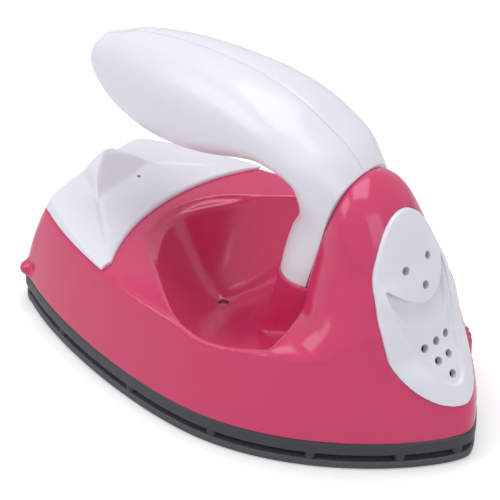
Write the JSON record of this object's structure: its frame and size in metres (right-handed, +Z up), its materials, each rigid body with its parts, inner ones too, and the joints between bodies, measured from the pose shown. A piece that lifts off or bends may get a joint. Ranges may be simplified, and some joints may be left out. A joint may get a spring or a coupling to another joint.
{
  "type": "travel iron",
  "caption": "Small dry travel iron: boat-shaped body on a flat soleplate, open curved handle, vented nose panel, rear cover and side temperature wheel.",
  "frame": {"origin": "middle of the bounding box at the soleplate's ironing face, Z = 0", "axes": "+X along the iron to the nose tip, +Y to the iron's left, +Z up from the ironing face"},
  "size_m": [0.13, 0.075, 0.0855],
  "materials": {
    "pink_shell": "glossy moulded",
    "pink_wheel": "glossy moulded",
    "white_shell": "glossy moulded",
    "dark_skirt": "matte heat-resistant",
    "coated_plate": "speckled grey coating",
    "steel": "bright zinc",
    "sheath": "dull heat-stained",
    "ceramic": "unglazed cream",
    "brass": "plain",
    "mica": "flaky amber sheet",
    "dark_rubber": "matte",
    "sleeve": "braided glass sleeve",
    "fuse_case": "epoxy",
    "lamp_red": "clear tinted",
    "lamp_green": "clear tinted",
    "board": "lacquered",
    "wire_brown": "satin insulation",
    "wire_blue": "satin insulation",
    "wire_white": "satin insulation"
  },
  "bodies": {
    "iron": {"soleplate": "coated_plate", "heat_skirt": "dark_skirt", "body_shell": "pink_shell", "rear_cover": "white_shell", "inlet_bushing": "dark_rubber", "front_panel": "white_shell", "handle_left": "white_shell", "handle_right": "white_shell", "handle_screw_1": "steel", "handle_screw_2": "steel", "handle_screw_3": "steel", "foot_screw_left": "steel", "foot_screw_right": "steel", "cover_screw_left": "steel", "cover_screw_right": "steel", "bowl_screw": "steel", "thermostat_bracket": "steel", "thermostat_body": "ceramic", "thermostat_bridge": "steel", "thermostat_blade_lower": "brass", "thermostat_blade_upper": "brass", "thermostat_screw_1": "steel", "thermostat_screw_2": "steel", "heating_element": "sheath", "element_pin_left": "brass", "element_pin_right": "brass", "mica_sheet": "mica", "heat_shield": "steel", "fuse_sleeve": "sleeve", "thermal_fuse": "fuse_case", "terminal_block": "ceramic", "terminal_screw_1": "brass", "terminal_screw_2": "brass", "terminal_screw_3": "brass", "lamp_left": "lamp_red", "lamp_right": "lamp_green", "lamp_board": "board", "wire_live": "wire_brown", "wire_neutral": "wire_blue", "wire_switch": "wire_brown", "wire_element_left": "wire_brown", "wire_element_right": "wire_white", "wire_fuse": "wire_blue", "wire_lamp": "wire_white"},
    "dial": {"temperature_wheel": "pink_wheel", "wheel_spindle": "brass"}
  },
  "joints": [
    {"name": "wheel_turn", "type": "hinge", "parent": "iron", "child": "dial", "pos_m": [0.04258, 0.00911, 0.018], "axis": [0, 0, 1], "range_deg": [0, 270]}
  ]
}
